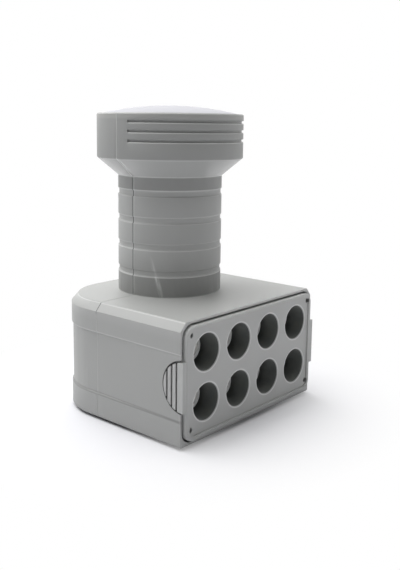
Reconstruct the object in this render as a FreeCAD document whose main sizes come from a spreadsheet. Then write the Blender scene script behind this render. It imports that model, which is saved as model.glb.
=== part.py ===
import FreeCAD, Part
import math
import os
import Sketcher

# Satellite LNB with eight outputs, standing on its back face with the feed pointing up.
# Millimetres. +Z runs up the neck, the ports face -Y, and the origin is the neck's axis
# on the face that the housing stands on.

os.makedirs("parts", exist_ok=True)
doc = FreeCAD.newDocument("SatelliteLnb")

# Driving sizes, one cell each.
sizes = {
    # housing body
    "bodyHalfWidth": 38.3,
    "bodyHeight": 42.7,
    "frontDepth": 41.1,
    "rearDepth": 28.0,
    "rearCornerRadius": 22.5,
    "edgeBevelAcross": 2.6,
    "edgeBevelDown": 3.0,
    "footBevel": 0.5,
    "wall": 2.0,
    # shallow panel let into the body's sides
    "panelLow": 8.9,
    "panelHigh": 32.1,
    "panelDepth": 0.5,
    "panelDepthFront": 0.08,
    "panelBevel": 0.5,
    # neck and head
    "neckRadius": 20.0,
    "neckBore": 17.8,
    "coneLow": 87.1,
    "headLow": 93.7,
    "headHigh": 110.3,
    "headRadius": 28.0,
    "headBore": 26.4,
    "headEdge": 0.4,
    "ringHeight": 2.4,
    "ringDepth": 0.4,
    "ringLow": 51.5,
    "ringPitch": 9.85,
    "ringCount": 4,
    "slotHeight": 0.95,
    "slotDepth": 0.7,
    "slotLow": 100.4,
    "slotPitch": 3.45,
    "slotCount": 3,
    "slotStart": 10.5,
    # mouth of the housing, where the weather cover seats
    "mouthWall": 0.9,
    "mouthDepth": 2.4,
    "mouthGap": 0.6,
    "beadDepth": 1.5,
    "beadInset": 0.5,
    # weather cover
    "coverProud": 1.5,
    "plateThickness": 3.0,
    "plateCornerRadius": 4.0,
    "plateEdge": 0.8,
    "rimWidth": 1.8,
    "rimHeight": 0.5,
    "skirtWall": 1.2,
    "skirtGap": 0.8,
    "runningGap": 0.3,
    "hookLength": 2.0,
    "hookWidth": 8.0,
    "coverTravel": 22.0,
    "stopGap": 0.6,
    # ribbed grips on the cover's sides
    "gripRadius": 8.6,
    "gripHeight": 21.1,
    "gripBack": 0.4,
    "gripGap": 0.5,
    "gripProud": 0.15,
    "gripSetback": 0.3,
    "gripGroove": 0.8,
    "gripGrooveDepth": 1.0,
    "gripPitch": 2.15,
    "gripFirstGroove": 2.05,
    # ports
    "columnPitch": 17.5,
    "rowPitch": 17.4,
    "portLift": 0.85,
    "portRadius": 6.5,
    "portEdge": 0.2,
    "portLip": 0.4,
    "bootWall": 0.9,
    "bootFit": 0.1,
    "bootLength": 15.7,
    "pinHoleRadius": 0.75,
    "pinHoleDepth": 1.6,
    "pinHoleAcross": 34.3,
    "pinHoleUp": 16.3,
    "pinHoleLift": 0.55,
    # F sockets, which are part of the casting, and what is inside them
    "socketRadius": 4.76,
    "socketLength": 12.5,
    "socketBore": 3.6,
    "insulatorFit": 0.05,
    "insulatorRecess": 0.6,
    "contactWidth": 1.1,
    "contactFit": 0.05,
    "contactRecess": 1.2,
    "contactReach": 1.5,
    # chassis casting
    "trayGap": 0.6,
    "trayFront": 22.5,
    "trayRearGap": 0.7,
    "trayCornerRadius": 19.5,
    "trayLift": 5.4,
    "trayDrop": 6.5,
    "trayWall": 2.4,
    "trayRoof": 2.2,
    "shoulderRadius": 17.4,
    "shoulderRise": 0.8,
    "shoulderHeight": 2.9,
    "guideBore": 9.0,
    "guideRadius": 12.0,
    "collarLow": 75.4,
    "collarHeight": 2.5,
    "flareLow": 83.4,
    "flareHigh": 96.4,
    "hornThroat": 14.0,
    "chokeInner": 15.6,
    "chokeOuter": 21.0,
    "chokeDepth": 7.0,
    "hornRadius": 24.0,
    "hornHigh": 107.0,
    "hornSkin": 2.2,
    "probeSlot": 2.2,
    "lidBossRadius": 3.2,
    "lidScrewTurn": 30,
    "bossOverlap": 0.4,
    "boardPostRadius": 2.6,
    "boardScrewAcross": 27.5,
    # board and what is on it
    "boardTop": 22.2,
    "boardThickness": 1.0,
    "boardGap": 0.8,
    "probeRadius": 0.45,
    "probeLength": 9.5,
    "probeReach": 3.5,
    "chipHeight": 1.0,
    "switchSize": 8.0,
    "converterSize": 5.0,
    "chipAcross": 19.0,
    "converterAlong": 8.5,
    "crystalLength": 5.0,
    "crystalWidth": 3.2,
    "crystalHeight": 0.9,
    "crystalAlong": -4.0,
    "regulatorWidth": 6.6,
    "regulatorDepth": 6.1,
    "regulatorHeight": 2.3,
    "regulatorAlong": 18.5,
    # backshort cup under the waveguide
    "cupWall": 1.8,
    "cupDepth": 7.5,
    "cupFlange": 4.6,
    "cupFlangeThickness": 1.8,
    # lid, gasket and screws
    "lidThickness": 2.2,
    "gasketThickness": 0.7,
    "gasketWidth": 1.6,
    "gasketInset": 0.4,
    "headRecess": 1.4,
    "screwRadius": 1.25,
    "screwHeadRadius": 2.3,
    "screwHeadHeight": 1.2,
    "screwGrip": 6.0,
    "screwFit": 0.15,
    # feed cap
    "capRadius": 26.1,
    "capRise": 3.0,
    "capWall": 1.4,
    "capSkirt": 5.0,
    "capLedge": 2.5,
    "capSkirtGap": 0.3,
    "sealThickness": 0.6,
    "sealInset": 0.5,
}

sheet = doc.addObject("Spreadsheet::Sheet", "Sizes")
sheet.Label = "Sizes"
for row, (alias, value) in enumerate(sizes.items(), start=1):
    sheet.set(f"A{row}", alias)
    sheet.set(f"B{row}", str(value))
    sheet.setAlias(f"B{row}", alias)
doc.recompute()

columns = 4
rows = 2
ports = [(column, row) for row in range(rows) for column in range(columns)]


def size(text):
    """The size rule with each alias pointed at the sheet."""
    words = []
    word = ""
    for letter in text + " ":
        if letter.isalnum():
            word += letter
            continue
        words.append("Sizes." + word if word in sizes else word)
        words.append(letter)
        word = ""
    return "".join(words).strip()


def number(text):
    """The value of a size rule now."""
    return float(sheet.evalExpression(size(text)))


# Places that several pieces share, each as a rule on the sheet's values.
bodyMiddle = "(bodyHeight / 2)"
plateHalfWidth = "(bodyHalfWidth - mouthWall - mouthGap)"
plateLow = "(mouthWall + mouthGap)"
plateHigh = "(bodyHeight - mouthWall - mouthGap)"
plateFront = "(frontDepth + coverProud)"
plateBack = "(frontDepth + coverProud - plateThickness)"
gripCentre = f"({plateFront} - gripBack)"
portFront = f"({plateFront} - rimHeight)"
bootFront = f"({portFront} - portLip)"
cavityHalfWidth = "(bodyHalfWidth - wall)"
cavityHigh = "(bodyHeight - wall)"
cavityCorner = "plateCornerRadius + mouthGap + mouthWall - wall"
beadBack = "(frontDepth - mouthDepth - beadDepth)"
skirtHalfWidth = f"({cavityHalfWidth} - skirtGap)"
skirtLength = f"(coverTravel + stopGap + hookLength + {plateBack} - {beadBack})"
trayHalfWidth = f"({skirtHalfWidth} - skirtWall - trayGap)"
trayRear = "(rearDepth - wall - trayRearGap)"
trayLow = "(wall + trayLift)"
trayHigh = "(bodyHeight - trayDrop)"
trayInner = "(trayFront - trayWall)"
socketTip = "(trayFront + socketLength)"
boardUnder = "(boardTop - boardThickness)"
boardHalfWidth = f"({trayHalfWidth} - trayWall - boardGap)"
boardFront = f"({trayInner} - boardGap)"
boardRear = f"({trayRear} - trayWall - boardGap)"
gasketLow = f"({trayLow} - gasketThickness)"
lidLow = f"({gasketLow} - lidThickness)"
shoulderHigh = "(bodyHeight + shoulderRise)"
capSeat = "(hornHigh + sealThickness)"


def portPlace(column, row):
    """Across and up, for one port's axis."""
    across = f"(({column} - {(columns - 1) / 2}) * columnPitch)"
    up = f"({bodyMiddle} + portLift + ({row} - {(rows - 1) / 2}) * rowPitch)"
    return across, up


def newBody(label):
    body = doc.addObject("PartDesign::Body", label)
    body.Label = label
    return body


def sketchOn(body, name, plane, shift="0"):
    """A sketch on one of the body's own planes, moved along its normal."""
    sketch = body.newObject("Sketcher::SketchObject", name)
    support = next(item for item in body.Origin.OriginFeatures if item.Role == plane)
    sketch.AttachmentSupport = (support, "")
    sketch.MapMode = "FlatFace"
    sketch.setExpression("AttachmentOffset.Base.z", size(shift))
    return sketch


def tie(sketch, kind, geometry, point, rule):
    """Bind one coordinate of a sketch point to a size rule."""
    constraint = Sketcher.Constraint(kind, -1, 1, geometry, point, number(rule))
    index = sketch.addConstraint(constraint)
    sketch.setExpression(f"Constraints[{index}]", size(rule))


def drawOutline(sketch, corners):
    """A closed outline of straight lines through corners given as size rules."""
    places = [FreeCAD.Vector(number(across), number(up), 0) for across, up in corners]
    first = sketch.GeometryCount
    count = len(places)
    for index in range(count):
        sketch.addGeometry(Part.LineSegment(places[index], places[(index + 1) % count]))
    for index in range(count):
        following = first + (index + 1) % count
        sketch.addConstraint(Sketcher.Constraint("Coincident", first + index, 2, following, 1))
    for index, (across, up) in enumerate(corners):
        tie(sketch, "DistanceX", first + index, 1, across)
        tie(sketch, "DistanceY", first + index, 1, up)
    return sketch


def drawRectangle(sketch, left, low, right, high):
    return drawOutline(sketch, [(left, low), (right, low), (right, high), (left, high)])


def drawCircle(sketch, across, up, radius):
    """A circle whose centre and radius are size rules."""
    centre = FreeCAD.Vector(number(across), number(up), 0)
    index = sketch.addGeometry(Part.Circle(centre, FreeCAD.Vector(0, 0, 1), number(radius)))
    tie(sketch, "DistanceX", index, 3, across)
    tie(sketch, "DistanceY", index, 3, up)
    constraint = sketch.addConstraint(Sketcher.Constraint("Radius", index, number(radius)))
    sketch.setExpression(f"Constraints[{constraint}]", size(radius))
    return sketch


def drawRounded(sketch, left, low, right, high, radius, cornersOn=(0, 1, 2, 3)):
    """A rectangle whose listed corners, from low left anticlockwise, are arcs."""
    xs = [left, right, right, left]
    ys = [low, low, high, high]
    inX = [1, -1, -1, 1]
    inY = [1, 1, -1, -1]
    starts = [180, 270, 0, 90]
    first = sketch.GeometryCount
    ends = []
    for index in range(4):
        corner = FreeCAD.Vector(number(xs[index]), number(ys[index]), 0)
        reach = number(radius) if index in cornersOn else 0
        before = FreeCAD.Vector(corner)
        after = FreeCAD.Vector(corner)
        if index % 2 == 0:
            before.y += inY[index] * reach
            after.x += inX[index] * reach
        else:
            before.x += inX[index] * reach
            after.y += inY[index] * reach
        ends.append((before, after))
    for index in range(4):
        sketch.addGeometry(Part.LineSegment(ends[index][1], ends[(index + 1) % 4][0]))
    for index in range(4):
        if index not in cornersOn:
            sketch.addConstraint(
                Sketcher.Constraint("Coincident", first + (index - 1) % 4, 2, first + index, 1)
            )
    firstArc = None
    for index in cornersOn:
        centre = FreeCAD.Vector(
            number(xs[index]) + inX[index] * number(radius),
            number(ys[index]) + inY[index] * number(radius),
            0,
        )
        circle = Part.Circle(centre, FreeCAD.Vector(0, 0, 1), number(radius))
        start = math.radians(starts[index])
        arc = sketch.addGeometry(Part.ArcOfCircle(circle, start, start + math.pi / 2))
        before = first + (index - 1) % 4
        sketch.addConstraint(Sketcher.Constraint("Tangent", before, 2, arc, 1))
        sketch.addConstraint(Sketcher.Constraint("Tangent", arc, 2, first + index, 1))
        if firstArc is None:
            firstArc = arc
            item = sketch.addConstraint(Sketcher.Constraint("Radius", arc, number(radius)))
            sketch.setExpression(f"Constraints[{item}]", size(radius))
        else:
            sketch.addConstraint(Sketcher.Constraint("Equal", firstArc, arc))
    sketch.addConstraint(Sketcher.Constraint("Horizontal", first))
    sketch.addConstraint(Sketcher.Constraint("Horizontal", first + 2))
    sketch.addConstraint(Sketcher.Constraint("Vertical", first + 1))
    sketch.addConstraint(Sketcher.Constraint("Vertical", first + 3))
    tie(sketch, "DistanceY", first, 1, low)
    tie(sketch, "DistanceX", first + 1, 1, right)
    tie(sketch, "DistanceY", first + 2, 1, high)
    tie(sketch, "DistanceX", first + 3, 1, left)
    return sketch


def addPad(body, name, sketch, length, back=False):
    pad = body.newObject("PartDesign::Pad", name)
    pad.Profile = sketch
    pad.setExpression("Length", size(length))
    pad.Reversed = back
    pad.Refine = True
    return pad


def addPocket(body, name, sketch, length, back=False):
    """A pocket, which cuts against the sketch's normal unless it points back."""
    pocket = body.newObject("PartDesign::Pocket", name)
    pocket.Profile = sketch
    pocket.setExpression("Length", size(length))
    pocket.Reversed = back
    pocket.Refine = True
    return pocket


def addTurned(body, kind, name, sketch, angle="360", back=False):
    """A revolution or groove about the sketch's upright axis."""
    turned = body.newObject("PartDesign::" + kind, name)
    turned.Profile = sketch
    turned.ReferenceAxis = (sketch, ["V_Axis"])
    turned.setExpression("Angle", size(angle))
    turned.Reversed = back
    turned.Refine = True
    return turned


def addPipe(body, name, profile, spine):
    """Cut a profile along a path that starts square to it."""
    pipe = body.newObject("PartDesign::SubtractivePipe", name)
    pipe.Profile = profile
    pipe.Spine = (spine, [f"Edge{index + 1}" for index in range(spine.GeometryCount)])
    return pipe


def edgesWhere(feature, wanted):
    return [f"Edge{i + 1}" for i, edge in enumerate(feature.Shape.Edges) if wanted(edge)]


def addFillet(body, name, feature, wanted, radius):
    doc.recompute()
    fillet = body.newObject("PartDesign::Fillet", name)
    fillet.Base = (feature, edgesWhere(feature, wanted))
    fillet.setExpression("Radius", size(radius))
    return fillet


def addChamfer(body, name, feature, wanted, width):
    doc.recompute()
    chamfer = body.newObject("PartDesign::Chamfer", name)
    chamfer.Base = (feature, edgesWhere(feature, wanted))
    chamfer.setExpression("Size", size(width))
    return chamfer


def onPlane(edge, axis, value):
    """Whether the whole edge lies where the axis has that value."""
    box = edge.BoundBox
    low, high = [(box.XMin, box.XMax), (box.YMin, box.YMax), (box.ZMin, box.ZMax)][axis]
    return abs(low - value) < 1e-3 and abs(high - value) < 1e-3


def hasRadius(edge, radius):
    return abs(getattr(edge.Curve, "Radius", 0) - radius) < 1e-3


def place(item, x="0", y="0", z="0"):
    """Bind a primitive's place to size rules."""
    for axis, rule in (("x", x), ("y", y), ("z", z)):
        item.setExpression("Placement.Base." + axis, size(rule))
    return item


def box(name, x, y, z, width, depth, height):
    """A block from its low corner."""
    item = doc.addObject("Part::Box", name)
    item.setExpression("Length", size(width))
    item.setExpression("Width", size(depth))
    item.setExpression("Height", size(height))
    return place(item, x, y, z)


def rod(name, x, y, z, radius, length, along="Z"):
    """A cylinder that starts at a point and runs along +X, -Y or +Z."""
    item = doc.addObject("Part::Cylinder", name)
    item.setExpression("Radius", size(radius))
    item.setExpression("Height", size(length))
    turns = {
        "X": FreeCAD.Rotation(FreeCAD.Vector(0, 1, 0), 90),
        "-Y": FreeCAD.Rotation(FreeCAD.Vector(1, 0, 0), 90),
        "Z": FreeCAD.Rotation(),
    }
    item.Placement = FreeCAD.Placement(FreeCAD.Vector(), turns[along])
    return place(item, x, y, z)


def cut(name, base, *tools):
    item = doc.addObject("Part::Cut", name)
    item.Base = base
    item.Tool = tools[0] if len(tools) == 1 else join(name + "Tools", *tools)
    item.Refine = True
    return item


def join(name, *items):
    item = doc.addObject("Part::MultiFuse", name)
    item.Shapes = list(items)
    item.Refine = True
    return item


pieces = []


def keep(item, label):
    """Name a finished piece, which becomes a node of the part."""
    item.Label = label
    pieces.append(item)
    return item


# Housing.
# Each half is one moulding: body, neck and head. They meet on the plane through the
# neck's axis. The neck and head are half a turn of one wall section.
def wallSection():
    """The neck and head wall, from the body's roof up to the rim."""
    corners = [("neckBore", f"{cavityHigh}"), ("neckRadius", f"{cavityHigh}")]
    for index in range(sizes["ringCount"]):
        middle = f"ringLow + {index} * ringPitch"
        corners.append(("neckRadius", f"{middle} - ringHeight / 2"))
        corners.append(("neckRadius - ringDepth", f"{middle} - ringHeight / 2 + ringDepth"))
        corners.append(("neckRadius - ringDepth", f"{middle} + ringHeight / 2 - ringDepth"))
        corners.append(("neckRadius", f"{middle} + ringHeight / 2"))
    corners += [
        ("neckRadius", "coneLow"),
        ("headRadius - headEdge", "headLow - headEdge / 2"),
        ("headRadius", "headLow + headEdge / 2"),
        ("headRadius", "headHigh - headEdge"),
        ("headRadius - headEdge", "headHigh"),
        ("headBore", "headHigh"),
        ("headBore", "headLow + wall"),
        ("neckBore", "coneLow + wall"),
    ]
    return corners


def addNeckAndHead(body, back):
    sketch = drawOutline(sketchOn(body, body.Name + "WallSection", "XZ_Plane"), wallSection())
    addTurned(body, "Revolution", body.Name + "Neck", sketch, "180", back)
    bore = drawCircle(
        sketchOn(body, body.Name + "BoreCircle", "XY_Plane", "bodyHeight + 1"),
        "0",
        "0",
        "neckBore",
    )
    return addPocket(body, body.Name + "Bore", bore, "wall + 2")


def frontSection():
    """The body seen from the ports, with its bevelled upper edges and eased lower ones."""
    return [
        ("-bodyHalfWidth", "footBevel"),
        ("footBevel - bodyHalfWidth", "0"),
        ("bodyHalfWidth - footBevel", "0"),
        ("bodyHalfWidth", "footBevel"),
        ("bodyHalfWidth", "bodyHeight - edgeBevelDown"),
        ("bodyHalfWidth - edgeBevelAcross", "bodyHeight"),
        ("edgeBevelAcross - bodyHalfWidth", "bodyHeight"),
        ("-bodyHalfWidth", "bodyHeight - edgeBevelDown"),
    ]


def panelSection(side, depth):
    """The shallow side panel's cutter, which starts outside the wall."""
    return [
        (f"{side} * (bodyHalfWidth + 1)", "panelLow - 1"),
        (f"{side} * (bodyHalfWidth + 1)", "panelHigh + 1"),
        (f"{side} * bodyHalfWidth", "panelHigh"),
        (f"{side} * (bodyHalfWidth - {depth})", "panelHigh - panelBevel"),
        (f"{side} * (bodyHalfWidth - {depth})", "panelLow + panelBevel"),
        (f"{side} * bodyHalfWidth", "panelLow"),
    ]


def makeFrontShell():
    body = newBody("front_shell")
    block = drawOutline(sketchOn(body, "FrontBlock", "XZ_Plane"), frontSection())
    addPad(body, "FrontBlockPad", block, "frontDepth")
    for side in (-1, 1):
        name = "Left" if side < 0 else "Right"
        deep = sketchOn(body, f"Panel{name}Seam", "XZ_Plane")
        drawOutline(deep, panelSection(side, "panelDepth"))
        fine = sketchOn(body, f"Panel{name}Front", "XZ_Plane", "frontDepth")
        drawOutline(fine, panelSection(side, "panelDepthFront"))
        loft = body.newObject("PartDesign::SubtractiveLoft", f"Panel{name}")
        loft.Profile = deep
        loft.Sections = [fine]
        loft.Ruled = True
    cavity = sketchOn(body, "FrontCavity", "XZ_Plane", "frontDepth + 1")
    drawRounded(
        cavity, f"-{cavityHalfWidth}", "wall", cavityHalfWidth, cavityHigh, cavityCorner
    )
    addPocket(body, "FrontCavityCut", cavity, "frontDepth + 2")
    mouth = sketchOn(body, "Mouth", "XZ_Plane", "frontDepth + 1")
    drawRounded(
        mouth,
        "mouthWall - bodyHalfWidth",
        "mouthWall",
        "bodyHalfWidth - mouthWall",
        "bodyHeight - mouthWall",
        "plateCornerRadius + mouthGap",
    )
    addPocket(body, "MouthCut", mouth, "mouthDepth + 1")
    bead = sketchOn(body, "Bead", "XZ_Plane", beadBack)
    for inset in ("-wall / 2", "beadInset"):
        drawRounded(
            bead,
            f"-({cavityHalfWidth} - ({inset}))",
            f"wall + ({inset})",
            f"{cavityHalfWidth} - ({inset})",
            f"{cavityHigh} - ({inset})",
            f"{cavityCorner} - ({inset})",
        )
    addPad(body, "BeadPad", bead, "beadDepth")
    addNeckAndHead(body, True)
    notch = sketchOn(body, "GripNotch", "YZ_Plane", "-bodyHalfWidth - 1")
    drawCircle(notch, f"-{gripCentre}", "gripHeight", "gripRadius + gripGap")
    addPocket(body, "GripNotchCut", notch, "2 * bodyHalfWidth + 2", back=True)
    for index in range(sizes["slotCount"]):
        slot = sketchOn(body, f"HeadSlot{index}", "XZ_Plane")
        slot.AttachmentOffset = FreeCAD.Placement(
            FreeCAD.Vector(), FreeCAD.Rotation(FreeCAD.Vector(0, -1, 0), sizes["slotStart"])
        )
        slot.setExpression("AttachmentOffset.Rotation.Angle", size("slotStart"))
        middle = f"slotLow + {index} * slotPitch"
        drawRectangle(
            slot,
            "headRadius - slotDepth",
            f"{middle} - slotHeight / 2",
            "headRadius + 1",
            f"{middle} + slotHeight / 2",
        )
        addTurned(body, "Groove", f"HeadSlotCut{index}", slot, "180 - 2 * slotStart", True)
    return keep(body, "front_shell")


def rearOutline(sketch, inset):
    """The body's plan behind the seam, moved inwards by an inset."""
    return drawRounded(
        sketch,
        f"-(bodyHalfWidth - {inset})",
        "0",
        f"bodyHalfWidth - {inset}",
        f"rearDepth - {inset}",
        f"rearCornerRadius - {inset}",
        cornersOn=(2, 3),
    )


def makeRearShell():
    body = newBody("rear_shell")
    plan = rearOutline(sketchOn(body, "RearPlan", "XY_Plane"), "0")
    addPad(body, "RearBlock", plan, "bodyHeight")
    doc.recompute()
    path = sketchOn(body, "RearPath", "XY_Plane")
    drawOpenPath(path)
    bevel = sketchOn(body, "RearBevel", "XZ_Plane")
    drawOutline(
        bevel,
        [
            ("bodyHalfWidth - edgeBevelAcross - 1", "bodyHeight + edgeBevelDown / edgeBevelAcross"),
            ("bodyHalfWidth + 1", "bodyHeight - edgeBevelDown - edgeBevelDown / edgeBevelAcross"),
            ("bodyHalfWidth + 1", "bodyHeight + edgeBevelDown / edgeBevelAcross"),
        ],
    )
    addPipe(body, "RearBevelCut", bevel, path)
    foot = sketchOn(body, "RearFoot", "XZ_Plane")
    drawOutline(
        foot,
        [
            ("bodyHalfWidth - footBevel - 1", "-1"),
            ("bodyHalfWidth + 1", "-1"),
            ("bodyHalfWidth + 1", "footBevel + 1"),
        ],
    )
    addPipe(body, "RearFootCut", foot, path)
    panel = sketchOn(body, "RearPanel", "XZ_Plane")
    drawOutline(panel, panelSection(1, "panelDepth"))
    addPipe(body, "RearPanelCut", panel, path)
    cavity = rearOutline(sketchOn(body, "RearCavity", "XY_Plane", "wall"), "wall")
    addPocket(body, "RearCavityCut", cavity, "bodyHeight - 2 * wall", back=True)
    addNeckAndHead(body, False)
    return keep(body, "rear_shell")


def drawOpenPath(sketch):
    """The body's rear outline as a path, from the seam on the right to the seam on the left."""
    side = number("bodyHalfWidth")
    rear = number("rearDepth")
    radius = number("rearCornerRadius")
    upright = FreeCAD.Vector(0, 0, 1)
    first = FreeCAD.Vector(side, 0, 0)
    second = FreeCAD.Vector(side, rear - radius, 0)
    third = FreeCAD.Vector(side - radius, rear, 0)
    sketch.addGeometry(Part.LineSegment(first, second))
    right = Part.Circle(FreeCAD.Vector(side - radius, rear - radius, 0), upright, radius)
    sketch.addGeometry(Part.ArcOfCircle(right, 0, math.pi / 2))
    sketch.addGeometry(Part.LineSegment(third, FreeCAD.Vector(radius - side, rear, 0)))
    left = Part.Circle(FreeCAD.Vector(radius - side, rear - radius, 0), upright, radius)
    sketch.addGeometry(Part.ArcOfCircle(left, math.pi / 2, math.pi))
    sketch.addGeometry(
        Part.LineSegment(FreeCAD.Vector(-side, rear - radius, 0), FreeCAD.Vector(-side, 0, 0))
    )
    for line, end, arc, start in ((0, 2, 1, 1), (2, 1, 1, 2), (2, 2, 3, 1), (4, 1, 3, 2)):
        sketch.addConstraint(Sketcher.Constraint("Tangent", line, end, arc, start))
    sketch.addConstraint(Sketcher.Constraint("Vertical", 0))
    sketch.addConstraint(Sketcher.Constraint("Horizontal", 2))
    sketch.addConstraint(Sketcher.Constraint("Equal", 1, 3))
    item = sketch.addConstraint(Sketcher.Constraint("Radius", 1, radius))
    sketch.setExpression(f"Constraints[{item}]", size("rearCornerRadius"))
    tie(sketch, "DistanceX", 0, 1, "bodyHalfWidth")
    tie(sketch, "DistanceY", 0, 1, "0")
    tie(sketch, "DistanceY", 2, 1, "rearDepth")
    tie(sketch, "DistanceX", 4, 2, "-bodyHalfWidth")
    tie(sketch, "DistanceY", 4, 2, "0")
    return sketch


makeFrontShell()
makeRearShell()


# Weather cover.
# A plate with a raised rim and eight ports. Its skirt runs in the housing's mouth, and a
# half-moon grip on each side lies in a notch of the housing's wall.
def skirtEdge(inset):
    """The skirt's outline, moved inwards by an inset."""
    return (
        f"-({skirtHalfWidth} - ({inset}))",
        f"wall + skirtGap + ({inset})",
        f"{skirtHalfWidth} - ({inset})",
        f"{cavityHigh} - skirtGap - ({inset})",
        f"{cavityCorner} - skirtGap - ({inset})",
    )


def makeWeatherCover():
    body = newBody("weather_cover")
    plate = sketchOn(body, "Plate", "XZ_Plane", plateBack)
    drawRounded(
        plate, f"-{plateHalfWidth}", plateLow, plateHalfWidth, plateHigh, "plateCornerRadius"
    )
    pad = addPad(body, "PlatePad", plate, "plateThickness")
    front = -number(plateFront)
    addFillet(body, "RimEdge", pad, lambda edge: onPlane(edge, 1, front), "plateEdge")
    skirt = sketchOn(body, "Skirt", "XZ_Plane", plateBack)
    drawRounded(skirt, *skirtEdge("0"))
    drawRounded(skirt, *skirtEdge("skirtWall"))
    addPad(body, "SkirtPad", skirt, skirtLength, back=True)
    hooks = sketchOn(body, "Hooks", "XZ_Plane", f"{plateBack} - {skirtLength}")
    for side in (-1, 1):
        middle = f"{side} * columnPitch"
        for edge, out in (("wall + skirtGap", -1), (f"{cavityHigh} - skirtGap", 1)):
            outer = f"{edge} + {out} * (skirtGap - runningGap)"
            inner = f"{edge} - {out} * skirtWall / 2"
            low, high = (outer, inner) if out < 0 else (inner, outer)
            drawRectangle(
                hooks, f"{middle} - hookWidth / 2", low, f"{middle} + hookWidth / 2", high
            )
    addPad(body, "HookPad", hooks, "hookLength")
    for side in (-1, 1):
        name = "Left" if side < 0 else "Right"
        inner = f"({skirtHalfWidth} - skirtWall / 2)"
        grip = sketchOn(body, f"Grip{name}", "YZ_Plane", f"{side} * {inner}")
        drawHalfMoon(grip)
        reach = f"bodyHalfWidth + gripProud - {inner}"
        addPad(body, f"Grip{name}Pad", grip, reach, back=side < 0)
        grooves = sketchOn(body, f"Grooves{name}", "YZ_Plane", f"{side} * (bodyHalfWidth + 1)")
        for index in range(3):
            middle = f"-frontDepth + gripFirstGroove + {index} * gripPitch - gripGroove"
            drawRectangle(
                grooves,
                middle,
                "gripHeight - gripRadius - 1",
                f"{middle} + gripGroove",
                "gripHeight + gripRadius + 1",
            )
        depth = "gripGrooveDepth + 1 - gripProud"
        addPocket(body, f"Grooves{name}Cut", grooves, depth, back=side < 0)
    panel = sketchOn(body, "Panel", "XZ_Plane", plateFront)
    drawRounded(
        panel,
        f"rimWidth - {plateHalfWidth}",
        f"{plateLow} + rimWidth",
        f"{plateHalfWidth} - rimWidth",
        f"{plateHigh} - rimWidth",
        "plateCornerRadius - rimWidth",
    )
    addPocket(body, "PanelCut", panel, "rimHeight")
    holes = sketchOn(body, "PortHoles", "XZ_Plane", plateFront)
    for column, row in ports:
        drawCircle(holes, *portPlace(column, row), "portRadius")
    addPocket(body, "PortHolesCut", holes, "plateThickness")
    seats = sketchOn(body, "BootSeats", "XZ_Plane", plateBack)
    for column, row in ports:
        drawCircle(seats, *portPlace(column, row), "portRadius + bootWall + bootFit")
    addPocket(body, "BootSeatsCut", seats, f"{bootFront} - {plateBack}", back=True)
    pins = sketchOn(body, "PinHoles", "XZ_Plane", plateFront)
    for across in (-1, 1):
        for up in (-1, 1):
            drawCircle(
                pins,
                f"{across} * pinHoleAcross",
                f"{bodyMiddle} + pinHoleLift + {up} * pinHoleUp",
                "pinHoleRadius",
            )
    last = addPocket(body, "PinHolesCut", pins, "rimHeight + pinHoleDepth")
    lipFront = -number(portFront)
    radius = number("portRadius")

    def isPort(edge):
        return onPlane(edge, 1, lipFront) and hasRadius(edge, radius)

    addChamfer(body, "PortEdges", last, isPort, "portEdge")
    return keep(body, "weather_cover")


def drawHalfMoon(sketch):
    """The grip's outline: a half circle about a point near the plate's face, with a flat front."""
    front = number(f"-{plateFront} + gripSetback")
    centre = number(f"-{gripCentre}")
    up = number("gripHeight")
    radius = number("gripRadius")
    angle = math.acos((front - centre) / radius)
    circle = Part.Circle(FreeCAD.Vector(centre, up, 0), FreeCAD.Vector(0, 0, 1), radius)
    rise = radius * math.sin(angle)
    arc = sketch.addGeometry(Part.ArcOfCircle(circle, -angle, angle))
    line = sketch.addGeometry(
        Part.LineSegment(FreeCAD.Vector(front, up + rise, 0), FreeCAD.Vector(front, up - rise, 0))
    )
    sketch.addConstraint(Sketcher.Constraint("Coincident", arc, 2, line, 1))
    sketch.addConstraint(Sketcher.Constraint("Coincident", line, 2, arc, 1))
    sketch.addConstraint(Sketcher.Constraint("Vertical", line))
    item = sketch.addConstraint(Sketcher.Constraint("Radius", arc, radius))
    sketch.setExpression(f"Constraints[{item}]", size("gripRadius"))
    tie(sketch, "DistanceX", arc, 3, f"-{gripCentre}")
    tie(sketch, "DistanceY", arc, 3, "gripHeight")
    tie(sketch, "DistanceX", line, 1, f"-{plateFront} + gripSetback")


makeWeatherCover()


# Port boots.
# One black sleeve behind each hole of the cover's plate.
def makeBoot(index, column, row):
    across, up = portPlace(column, row)
    rear = f"bootLength - {bootFront}"
    outer = rod(f"BootOuter{index}", across, rear, up, "portRadius + bootWall", "bootLength", "-Y")
    bore = rod(
        f"BootBore{index}", across, f"{rear} + 1", up, "portRadius", "bootLength + 2", "-Y"
    )
    return keep(cut(f"Boot{index}", outer, bore), f"port_boot_{index}")


for index, (column, row) in enumerate(ports, start=1):
    makeBoot(index, column, row)


# Inside the F sockets.
# A plug of white plastic holds a stamped contact, which is bent square to the board.
def makeInsulator(index, column, row):
    across, up = portPlace(column, row)
    length = f"{socketTip} - {trayInner} - insulatorRecess"
    plug = rod(
        f"Plug{index}", across, f"-{trayInner}", up, "socketBore - insulatorFit", length, "-Y"
    )
    half = "(contactWidth / 2 + contactFit)"
    slot = box(
        f"PlugSlot{index}",
        f"{across} - {half}",
        f"-{socketTip}",
        f"{up} - {half}",
        f"2 * {half}",
        f"{socketTip} - {trayInner} + 1",
        f"2 * {half}",
    )
    return keep(cut(f"Insulator{index}", plug, slot), f"socket_insulator_{index}")


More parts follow.
